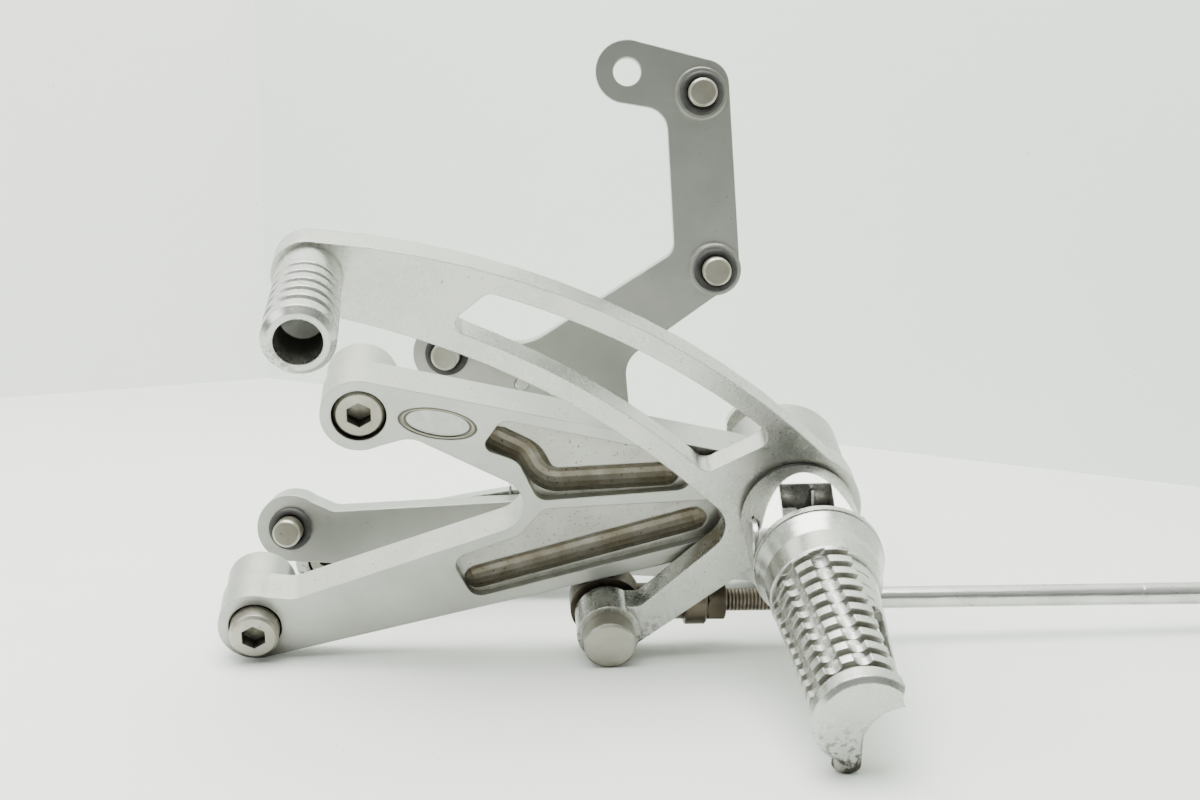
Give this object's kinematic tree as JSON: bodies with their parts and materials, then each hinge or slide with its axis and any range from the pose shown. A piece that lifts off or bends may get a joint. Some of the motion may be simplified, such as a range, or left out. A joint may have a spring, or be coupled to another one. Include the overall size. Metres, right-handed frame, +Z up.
{
  "type": "rear sets footrest",
  "caption": "Pair of machined rear sets: forked plates with folding knurled footrests, slotted gear lever with linkage rod, and brake pedal with a hooked neck",
  "frame": {"origin": "on the table, below the middle of the pair", "axes": "+X to the rear of the motorcycle along the left plate, +Y from the left set to the right set, +Z up from the table"},
  "size_m": [0.3116, 0.2724, 0.162],
  "materials": {
    "satin_aluminium": "satin machined, with dirt in the pockets",
    "bright_aluminium": "machined and polished, lightly scratched",
    "badge": "bright rim round a plain plate",
    "bolt_steel": "zinc plated, weathered",
    "bright_steel": "drawn, bright",
    "dark_steel": "dark, oily and worn",
    "black_rubber": "matt black"
  },
  "bodies": {
    "plates": {"left_plate": "satin_aluminium", "left_upper_bolt": "bolt_steel", "left_lower_bolt": "bolt_steel", "left_upper_spacer": "satin_aluminium", "left_lower_spacer": "satin_aluminium", "left_upper_oring": "black_rubber", "left_lower_oring": "black_rubber", "badge_insert": "badge", "gear_lever_bush": "bright_steel", "left_hub_bolt": "bolt_steel", "left_seal_ring": "black_rubber", "left_clevis": "bright_aluminium", "left_hinge_pin": "bright_steel", "left_pin_clip": "bright_steel", "left_peg_spring": "bright_steel", "right_plate": "satin_aluminium", "right_upper_bolt": "bolt_steel", "right_lower_bolt": "bolt_steel", "right_upper_oring": "black_rubber", "right_lower_oring": "black_rubber", "cylinder_upper_bolt": "bolt_steel", "cylinder_lower_bolt": "bolt_steel", "cylinder_upper_oring": "black_rubber", "cylinder_lower_oring": "black_rubber", "brake_pedal_bush": "bright_steel", "right_hub_bolt": "bolt_steel", "right_seal_ring": "black_rubber", "right_clevis": "bright_aluminium", "right_hinge_pin": "bright_steel", "right_pin_clip": "bright_steel", "right_peg_spring": "bright_steel", "spring_anchor": "bright_steel", "pedal_spring": "bright_steel"},
    "gear_lever": {"gear_lever": "bright_aluminium", "gear_toe_peg": "bright_aluminium", "gear_toe_screw": "bolt_steel", "rod_bolt": "bolt_steel"},
    "front_ball": {"front_ball": "bright_steel"},
    "gear_rod": {"front_rod_end": "dark_steel", "front_jam_nut": "dark_steel", "gear_rod": "bright_steel", "rear_jam_nut": "dark_steel", "rear_rod_end": "dark_steel"},
    "rear_ball": {"rear_ball": "bright_steel"},
    "left_footrest": {"left_footrest": "bright_aluminium", "left_peg_slider": "dark_steel"},
    "brake_pedal": {"brake_pedal": "bright_aluminium", "brake_toe_peg": "bright_aluminium", "brake_toe_screw": "bolt_steel"},
    "right_footrest": {"right_footrest": "bright_aluminium", "right_peg_slider": "dark_steel"}
  },
  "joints": [
    {"name": "gear_lever_pivot", "type": "hinge", "parent": "plates", "child": "gear_lever", "pos_m": [-0.00574, -0.04249, 0.04294], "axis": [0, 0.9495, 0.3139], "range_deg": [-16, 0]},
    {"name": "rod_swing", "type": "hinge", "parent": "gear_lever", "child": "front_ball", "pos_m": [-0.05354, -0.02321, 0.01297], "axis": [0, 0.9495, 0.3139], "range_deg": [-6, 14]},
    {"name": "rod_tilt", "type": "hinge", "parent": "front_ball", "child": "gear_rod", "pos_m": [-0.05354, -0.02321, 0.01297], "axis": [0.0157, -0.3139, 0.9493], "range_deg": [-1, 8]},
    {"name": "rear_ball_tilt", "type": "hinge", "parent": "gear_rod", "child": "rear_ball", "pos_m": [0.14644, -0.02222, 0.00999], "axis": [0.9999, 0.0049, -0.0149], "range_deg": [-8, 8]},
    {"name": "left_footrest_fold", "type": "hinge", "parent": "plates", "child": "left_footrest", "pos_m": [-0.00574, -0.06425, 0.03786], "axis": [-1, 0, 0], "range_deg": [0, 66], "stiffness_Nm_per_rad": 0.15, "springref_deg": -148.97},
    {"name": "brake_pedal_pivot", "type": "hinge", "parent": "plates", "child": "brake_pedal", "pos_m": [0.00416, 0.04058, 0.01705], "axis": [-0.061, -0.9977, 0.0304], "range_deg": [0, 10], "stiffness_Nm_per_rad": 1, "springref_deg": -20.05, "deforming": ["pedal_spring"]},
    {"name": "right_footrest_fold", "type": "hinge", "parent": "plates", "child": "right_footrest", "pos_m": [0.00552, 0.06284, 0.01837], "axis": [0.9981, -0.061, 0], "range_deg": [0, 66], "stiffness_Nm_per_rad": 0.15, "springref_deg": -148.97}
  ]
}
